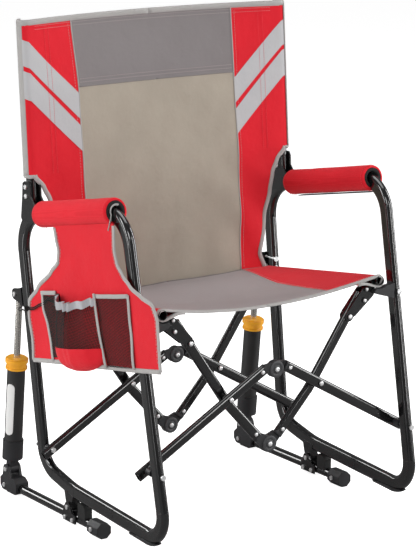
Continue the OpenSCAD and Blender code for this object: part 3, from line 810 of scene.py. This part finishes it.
# Outlines in mm from the pad's middle: (h down from the pad's axis, s along the pad to the front)
REAR_EDGE = [(18, -66), (45, -64), (66, -60), (88, -67), (106, -96), (134, -150), (158, -186), (188, -193),
             (228, -190), (278, -197)]
FRONT_EDGE = [(18, 138), (68, 132), (91, 136), (113, 150), (132, 170), (150, 205), (164, 236), (190, 246),
              (284, 240)]
STRIP = [(140, -131), (171, -133), (202, -122), (233, -118), (268, -118)]
CUP_REAR = [(140, -74), (163, -78), (202, -90), (242, -94), (262, -80), (290, -46)]
CUP_FRONT = [(140, 58), (163, 58), (202, 62), (242, 70), (262, 70), (290, 44)]
FLAT_REAR = [(144, 58), (273, 73)]
FLAT_FRONT = [(148, 162), (273, 161)]
POCKET_X = -299.0
POCKET_LOW = 270.0
CUP_RIM = 163.0
CUP_BAND = 242.0            # where the cup pouch changes from mesh to cloth
CUP_SPLIT = 0.44            # share of the pouch's width where its denser mesh ends
CUP_DEPTH = 42.0            # how far the cloth bottom reaches below the band
MESH = 0.8
OUT = (-1, 0, 0)
DOWN = Vector((0, -math.sin(PAD_TILT), -math.cos(PAD_TILT)))
AHEAD = Vector((0, -math.cos(PAD_TILT), math.sin(PAD_TILT)))
pad_middle = Pad(-1, "l").centre
cloth = Kit("side_l", "red_fabric")
netting = Kit("side_l", "pouch_mesh")


def pocket_out(s, h):
    """How far the panel hangs out past its plane: soft folds and a belly near the pouch."""
    belly = 3 * math.exp(-((s - 20) / 120) ** 2 - ((h - 215) / 80) ** 2)
    return belly + 2.2 * noise.noise(Vector((s / 45, h / 110, 2.0))) * smooth((h - 30) / 70)


def pocket_at(s, h, out=0.0):
    """A point of the hanging panel; near its top it curls out round the pad."""
    p = pad_middle + (AHEAD * s + DOWN * h) * MM
    curl = 3.6 * (1 - math.cos(math.pi / 2 * clamp((34 - h) / 30)))
    p.x = (POCKET_X - pocket_out(s, h) - out - curl) * MM
    return p


def pocket_panel(t, h):
    """t 0 at the rear edge to 1 at the front edge, where the panel reaches a little lower."""
    low = POCKET_LOW + 9 * smooth(t)
    stretched = h if h < 200 else lerp(200, low, (h - 200) / (POCKET_LOW - 200))
    return pocket_at(lerp(through(REAR_EDGE, h), through(FRONT_EDGE, h), t), stretched)


def ruffle(t):
    """Gathers of the elastic rim."""
    return math.sin(t * 34 + 1.6 * math.sin(t * 13))


def cup_out(t, h):
    """How far the cup pouch stands out: full in its middle, with gathers, creases and one ridge."""
    round_out = hump(t) ** 0.7
    ridge = 3.5 * bell(t, 0.56, 0.07) * smooth((h - 168) / 30) * smooth((250 - h) / 40)
    gather = 3.2 * ruffle(t) * (1 - smooth((h - 158) / 46) * 0.85)
    crease = 2.0 * noise.noise(Vector((t * 5, h / 32, 9.0)))
    full = lerp(19, 29, smooth((h - 160) / 90))
    return 3 + full * round_out + ridge + (gather + crease) * min(1, round_out * 1.5)


def cup_at(t, h, lift=0.0):
    sag = 9 * math.sin(math.pi * t) * smooth((230 - h) / 70)
    s = lerp(through(CUP_REAR, h), through(CUP_FRONT, h), t)
    return pocket_at(s, h + sag, cup_out(t, h) + lift)


def cup_base(t, h):
    """The pouch's cloth bottom: it rounds under and comes back to the panel."""
    k = clamp((h - CUP_BAND) / CUP_DEPTH)
    rounded = CUP_BAND + (h - CUP_BAND) * (0.62 + 0.38 * hump(t) ** 0.6)
    tuck = math.sqrt(max(0.0, 1 - k ** 2.6))
    rear, front = through(CUP_REAR, CUP_BAND), through(CUP_FRONT, CUP_BAND)
    s = lerp((rear + front) / 2, lerp(rear, front, t), 1 - 0.16 * k ** 4)
    crease = 1.2 * noise.noise(Vector((t * 6, rounded / 20, 4.0)))
    return pocket_at(s, rounded, (cup_out(t, CUP_BAND) + crease) * (0.12 + 0.88 * tuck) + 0.6)


def elastic_at(t, v):
    """The gathered rim: its edges wave up and down as well as in and out."""
    wave = ruffle(t)
    top = CUP_RIM - 14 - 5 * bell(t, 0.1, 0.12) + 1.6 * wave
    return cup_at(t, lerp(top, CUP_RIM + 2.0 * wave, v), 1.2 + 1.4 * wave)


def strip_mesh(t, h):
    return pocket_at(lerp(through(STRIP, h), through(CUP_REAR, h), t), h, 3.0)


def flat_pocket(t, h):
    bow = 3.5 * math.sin(math.pi * t) + 1.8 * noise.noise(Vector((t * 3, h / 40, 5.0)))
    return pocket_at(lerp(through(FLAT_REAR, h), through(FLAT_FRONT, h), t), h, 3.2 + bow)


def panel_and_binding():
    panel = cloth.sheet("pocket_panel", pocket_panel, steps(0, 1, 44), steps(20, POCKET_LOW, 56), CLOTH,
                        "red_yz")
    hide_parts("side_pocket")
    proud = Vector(OUT) * MM
    heights = steps(24, POCKET_LOW, 50)
    edges = {
        "rear": [pocket_at(through(REAR_EDGE, h), h, 1.0) for h in heights],
        "front": [pocket_panel(1, h) + proud for h in heights],
        "low": [pocket_panel(t, POCKET_LOW) + proud for t in steps(0, 1, 40)],
    }
    for name, line in edges.items():
        cloth.tape("pocket_binding_" + name, line, 8.5, 3.6, OUT, "binding")


def cup_pouch():
    heights = steps(CUP_RIM - 4, CUP_BAND, 34)
    cup = netting.sheet("cup_pouch_mesh", cup_at, steps(0, CUP_SPLIT, 36), heights, MESH, "pouch")
    netting.sheet("cup_pouch_mesh_front", cup_at, steps(CUP_SPLIT, 1, 44), heights, MESH, "thin_pouch")
    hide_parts("cup_pouch")
    cloth.sheet("cup_pouch_base", cup_base, steps(0, 1, 60), steps(CUP_BAND - 2, CUP_BAND + CUP_DEPTH, 26),
                CLOTH, "red_yz")
    cloth.sheet("cup_elastic", elastic_at, steps(0, 1, 110), steps(0, 1, 7), 2.0, "elastic")


def flat_pockets():
    """The strip of mesh behind the cup, the flat pocket in front of it and their trims."""
    netting.sheet("pocket_strip_mesh", strip_mesh, steps(0, 1, 12), steps(148, 262, 24), MESH, "pouch")
    netting.sheet("flat_pocket_mesh", flat_pocket, steps(0, 1, 24), steps(148, 274, 26), MESH, "thin_pouch")
    trims = {
        "strip_top": [pocket_at(s, 143, 4.0) for s in steps(-134, -82, 12)],
        "strip_rear": [strip_mesh(0, h) for h in steps(141, 270, 20)],
        "flat_top": [flat_pocket(t, 148) for t in steps(0, 1, 16)],
        "flat_front": [flat_pocket(1, h) for h in steps(146, 276, 16)],
        "flat_rear": [pocket_at(through(FLAT_REAR, h) - 2, h, 6.0) for h in steps(143, 276, 16)],
    }
    for name, line in trims.items():
        cloth.tape("pocket_trim_" + name, line, 8.0, 2.6, OUT, "binding")


def pocket_stitches():
    rows = []
    for edge, inset in ((REAR_EDGE, 7), (FRONT_EDGE, -7)):
        rows.append(([pocket_at(through(edge, h) + inset, h, 1.2) for h in steps(30, 268, 50)], OUT))
    cloth.piece("pocket_stitches", dashes(rows), "thread")


panel_and_binding()
cup_pouch()
flat_pockets()
pocket_stitches()


# ---------- cord of the cord lock ----------

CORD = ((0, 0), (33, -3), (68, -22), (104, -36), (126, -38), (146, -44))
KNOT_Y, KNOT_Z = CORD[3]
LOOP_SPAN = 48              # length of the loop that ends the cord, past its knot
cord_kit = Kit("side_l", "lock_plastic")
lock_low, lock_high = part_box("cord_lock")
lock_mid = (lock_low + lock_high) / 2


def cord_strand(n, spread):
    """One strand from the lock back to the knot, then half of the loop."""
    line = []
    for (y0, z0), (y1, z1) in zip(CORD, CORD[1:]):
        for f in steps(0, 1, 5)[:-1]:
            opening = 1 if y0 < 100 else 2.2 * math.sin(math.pi * (y0 - 100 + f * 20) / LOOP_SPAN)
            sag = -2.5 * math.sin(math.pi * f)
            z = lerp(z0, z1, f) + sag + spread * opening
            line.append(lock_mid + Vector((0, lerp(y0, y1, f), z)) * MM)
    cord_kit.tape(f"lock_cord_{n}", line, 2.4, 2.4, PLAIN_X, "cord")


cord_strand(1, -1.8)
cord_strand(2, 1.8)
knot = [lock_mid + Vector((3 * math.cos(a), KNOT_Y + a * 0.9, KNOT_Z + 3 * math.sin(a))) * MM
        for a in steps(0, 12.6, 30)]
cord_kit.tape("lock_cord_knot", knot, 3.4, 3.4, (0, 1, 0), "cord")


# ---------- rivet heads and hub bosses ----------

DOME = ((1.0, 0.0), (1.0, 0.35), (0.9, 0.68), (0.66, 0.9), (0.3, 1.0), (0.12, 0.86))
DOME_HEIGHT = 2.6
BOSS = ((15.6, -0.5), (15.6, 1.0), (14.9, 1.6), (9.6, 1.6), (9.0, 1.0), (7.6, 1.0), (7.0, 2.2), (2.0, 2.2))
# Rivets of the front scissor set: x from the middle and z
LINK_PIN = (31, 312.4)
LOW_PIN = (30, 190.7)
LOW_HUB_Z = 168
RAIL_RIVETS = ((178, 384.1, 4.6), (212, 411, 3.8), (216, 432, 3.4))  # and the head's radius
# Half thicknesses that the heads stand on
HUB_HALF = 5.8
LINK_HALF = 8.0
BRACKET_HALF = 11.2
BIG_HEAD = 4.8
LINK_HEAD = 4.6
PIN_HEAD = 3.9
BOTH = (-1, 1)
FRONT_FACE = (-1,)
REAR_FACE = (1,)
front_pivot = pivot("fold")
hub_z = pivot("front_hub").z
crossing = pivot("seat_r_fold")
SEAT_LAYER = front_pivot.y + 20
SETS = (("front", Vector((0, 0, 0))), ("rear", pivot("rear_link_l_fold") - front_pivot))


def heads(name, body, spots):
    """Domed rivet heads; each spot is x, layer, half thickness, z, radius and the faces it shows on."""
    parts = []
    for x, layer, half, z, r, signs in spots:
        for sign in signs:
            profile = [(r * a, DOME_HEIGHT * b) for a, b in DOME]
            parts.append(turned(at(x, layer + sign * half, z), (0, sign, 0), profile))
    Kit(body, "rivet").piece(name, merge(parts), "rivet")


def boss(name, body, layer, z):
    """Raised ring on the front face of a hub."""
    ring = turned(at(0, layer - HUB_HALF, z), FRONTWARD, BOSS, 40)
    Kit(body, "moulding").piece(name, ring, "hub")


def link_heads(side, tag):
    """Rivets of the lower links and the middle hubs, which ride on the left links."""
    for place, move in SETS:
        layer = front_pivot.y + move.y
        body = f"{place}_link_{tag}"
        spots = [(side * LINK_PIN[0], layer, HUB_HALF, LINK_PIN[1] + move.z, PIN_HEAD, BOTH),
                 (side * crossing.x, layer, LINK_HALF, crossing.z + move.z, LINK_HEAD, FRONT_FACE)]
        if side < 0:
            spots.append((0, layer, LINK_HALF, hub_z + move.z, BIG_HEAD, BOTH))
            boss(f"{place}_hub_boss", body, layer, hub_z + move.z)
        heads(f"{place}_link_heads_{tag}", body, spots)


def seat_frame_heads(side, tag):
    """Rivets of the upper links, the low hubs, the crossings' rear faces and the rail brackets."""
    body = "seat_frame_" + tag
    spots = []
    for place, move in SETS:
        layer = SEAT_LAYER + move.y
        spots.append((side * LOW_PIN[0], layer, HUB_HALF, LOW_PIN[1] + move.z, PIN_HEAD, BOTH))
        spots.append((side * crossing.x, layer, LINK_HALF, crossing.z + move.z, LINK_HEAD, REAR_FACE))
        for x, z, r in RAIL_RIVETS:
            spots.append((side * x, layer, BRACKET_HALF, z + move.z, r, BOTH))
        if side < 0:
            spots.append((0, layer, LINK_HALF, LOW_HUB_Z + move.z, BIG_HEAD, BOTH))
            boss(f"{place}_low_boss", body, layer, LOW_HUB_Z + move.z)
    heads("seat_frame_heads_" + tag, body, spots)


for side, tag in SIDES:
    link_heads(side, tag)
    seat_frame_heads(side, tag)


# ---------- weld bead that closes the loop of each side tube ----------

TUBE_SLOPE = math.atan2(18, 308)
WELD = (277.2, -149.5, 56.7)  # where the ends of the tube meet, on the right side
tube_ahead = Vector((0, math.cos(TUBE_SLOPE), math.sin(TUBE_SLOPE)))
tube_up = (0, -tube_ahead.z, tube_ahead.y)
for side, tag in SIDES:
    run = [at(side * WELD[0], WELD[1], WELD[2]) + tube_ahead * (d * MM) for d in (-2.0, -0.7, 0.7, 2.0)]
    Kit("side_" + tag, "frame_tube").piece("weld_bead_" + tag, sweep(run, 16.5, 28.5, tube_up, 36), "frame")


# ---------- spring coils along the strut -----------------------------------------

COILS = 15
COIL_STEPS = 18
WIRE = 3.0
strut_axis = Vector(joints["strut_slide_l"]["axis"]).normalized()


def coil(tag):
    low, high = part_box("strut_spring_" + tag)
    base = Vector(joints["strut_swing_" + tag]["pos_m"])
    start = (low.z - base.z) / strut_axis.z + 2.2 * MM
    length = (high.z - low.z) / strut_axis.z - 6.2 * MM
    radius = (high.x - low.x) / 2 - 1.6 * MM
    fore = PLAIN_X.cross(strut_axis)
    count = COILS * COIL_STEPS
    turns = []
    for n in range(count + 1):
        a = 2 * math.pi * n / COIL_STEPS
        ring = PLAIN_X * (radius * math.cos(a)) + fore * (radius * math.sin(a))
        turns.append(base + ring + strut_axis * (start + length * n / count))
    kit = Kit("strut_body_" + tag, "spring")
    obj = kit.tape("strut_coil_" + tag, turns, WIRE, WIRE, strut_axis, "spring")
    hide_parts("strut_spring_" + tag)
    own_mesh(obj)


for side, tag in SIDES:
    coil(tag)


# ---------- plain bright label on the strut of the pocket's side ----------

LABEL_R = 17.9
LABEL_MID = 126.0           # along the strut from its low eye
LABEL_HALF = 52.0
LABEL_TURN = 0.5            # half of the angle that the label covers, in radians
strut_foot = Vector(joints["strut_swing_l"]["pos_m"])
label_side = strut_axis.cross(Vector((-0.902, -0.432, 0))).normalized()
facing = label_side.cross(strut_axis).normalized()


def label_at(u, v):
    """A patch with round ends, wrapped on the cylinder; u across and v along, each -1 to 1."""
    squeeze = math.sqrt(max(0.0, 1 - max(0.0, (abs(v) - 0.82) / 0.18) ** 2))
    a = u * LABEL_TURN * (0.25 + 0.75 * squeeze)
    on_surface = (facing * math.cos(a) + label_side * math.sin(a)) * LABEL_R
    return strut_foot + (strut_axis * (LABEL_MID + v * LABEL_HALF) + on_surface) * MM


label = Kit("strut_body_l", "strut_black")
label.sheet("strut_label", label_at, steps(-1, 1, 14), steps(-1, 1, 40), 0.3, "label")


# ---------- stage, light and camera ----------

FLOOR = 14
SKY_SEEN = 0.80             # added to the pale surroundings for the camera only
SKY_LIGHT = 0.20
MIDDLE = (0, 0, 0.45)
# Lamps: place, width, height and power; all of them face the chair's middle
LAMPS = {
    "key": ((-2.8, -2.4, 2.6), 1.2, 1.2, 31),
    "front_strip": ((0.9, -3.6, 1.6), 0.55, 2.4, 48),
    "right_strip": ((3.0, -1.0, 1.5), 0.55, 2.6, 60),
    "left_strip": ((-3.2, 0.6, 1.5), 0.55, 2.6, 44),
    "back_strip": ((-1.6, 3.0, 1.8), 0.5, 2.4, 34),
    "top": ((0.2, 0.0, 3.2), 2.0, 2.0, 36),
    "low_left": ((-1.25, 0.75, 0.55), 0.16, 1.05, 2.6),
    "low_front": ((-1.75, -0.75, 0.55), 0.12, 1.05, 1.9),
    "low_right": ((1.25, -1.05, 0.55), 0.14, 1.05, 3.0),
}
AZIMUTH, ELEVATION, ROLL = math.radians(-34.41), math.radians(13.11), math.radians(0.24)
DISTANCE = 4.6314
AIM = at(-0.3, -15, 443.2)


def add_object(name, data):
    obj = bpy.data.objects.new(name, data)
    bpy.context.scene.collection.objects.link(obj)
    return obj


def floor_material():
    """Pale floor: bright for the camera, and darker where gloss black tubes mirror it."""
    f = Finish("pale_floor", (0.84, 0.84, 0.84), 0.9)
    f.tint(f.noise(1.5, detail=2), low=0.99, high=1.01)
    ray = f.node("ShaderNodeLightPath").outputs
    f.put("Emission Color", (1, 1, 1, 1))
    f.link(f.math("MULTIPLY", ray["Is Camera Ray"], SKY_SEEN), f.shader.inputs["Emission Strength"])
    dark = f.node("ShaderNodeBsdfDiffuse")
    dark.inputs["Color"].default_value = (0.26, 0.26, 0.26, 1)
    either = f.node("ShaderNodeMixShader")
    f.link(ray["Is Glossy Ray"], either.inputs["Fac"])
    f.link(f.shader.outputs["BSDF"], either.inputs[1])
    f.link(dark.outputs["BSDF"], either.inputs[2])
    f.link(either.outputs["Shader"], f.tree.nodes["Material Output"].inputs["Surface"])
    return f.mat


def make_floor():
    corners = [(-FLOOR, -FLOOR, 0), (FLOOR, -FLOOR, 0), (FLOOR, FLOOR, 0), (-FLOOR, FLOOR, 0)]
    floor_mesh = bpy.data.meshes.new("floor")
    floor_mesh.from_pydata(corners, [], [(0, 1, 2, 3)])
    floor_mesh.materials.append(floor_material())
    add_object("floor", floor_mesh)


def make_world():
    world = bpy.data.worlds.new("studio")
    world.use_nodes = True
    nodes, links = world.node_tree.nodes, world.node_tree.links
    seen = nodes.new("ShaderNodeLightPath").outputs["Is Camera Ray"]
    strength = nodes.new("ShaderNodeMath")
    strength.operation = "MULTIPLY_ADD"
    strength.inputs[1].default_value = SKY_SEEN
    strength.inputs[2].default_value = SKY_LIGHT
    links.new(seen, strength.inputs[0])
    links.new(strength.outputs[0], nodes["Background"].inputs["Strength"])
    nodes["Background"].inputs["Color"].default_value = (1, 1, 1, 1)
    bpy.context.scene.world = world
    bpy.context.scene.view_settings.view_transform = "Standard"


def make_lamps():
    for name, (place, width, height, power) in LAMPS.items():
        lamp = bpy.data.lights.new(name, "AREA")
        lamp.shape = "RECTANGLE"
        lamp.size = width
        lamp.size_y = height
        lamp.energy = power
        obj = add_object(name, lamp)
        obj.location = place
        obj.rotation_euler = (Vector(MIDDLE) - Vector(place)).to_track_quat("-Z", "Y").to_euler()


def make_camera():
    """Looks from AZIMUTH and ELEVATION at AIM, with a small roll and lens shift."""
    back = Vector((math.sin(AZIMUTH) * math.cos(ELEVATION), -math.cos(AZIMUTH) * math.cos(ELEVATION),
                   math.sin(ELEVATION)))
    level = Vector((math.cos(AZIMUTH), math.sin(AZIMUTH), 0))
    right = level * math.cos(ROLL) + back.cross(level) * math.sin(ROLL)
    data = bpy.data.cameras.new("camera")
    data.lens = 161.95
    data.sensor_width = 36
    data.shift_x = 0.0134
    data.shift_y = 0.0016
    camera = add_object("camera", data)
    rotation = Matrix((right, back.cross(right), back)).transposed()
    camera.matrix_world = Matrix.Translation(AIM + back * DISTANCE) @ rotation.to_4x4()
    bpy.context.scene.camera = camera


make_floor()
make_world()
make_lamps()
make_camera()
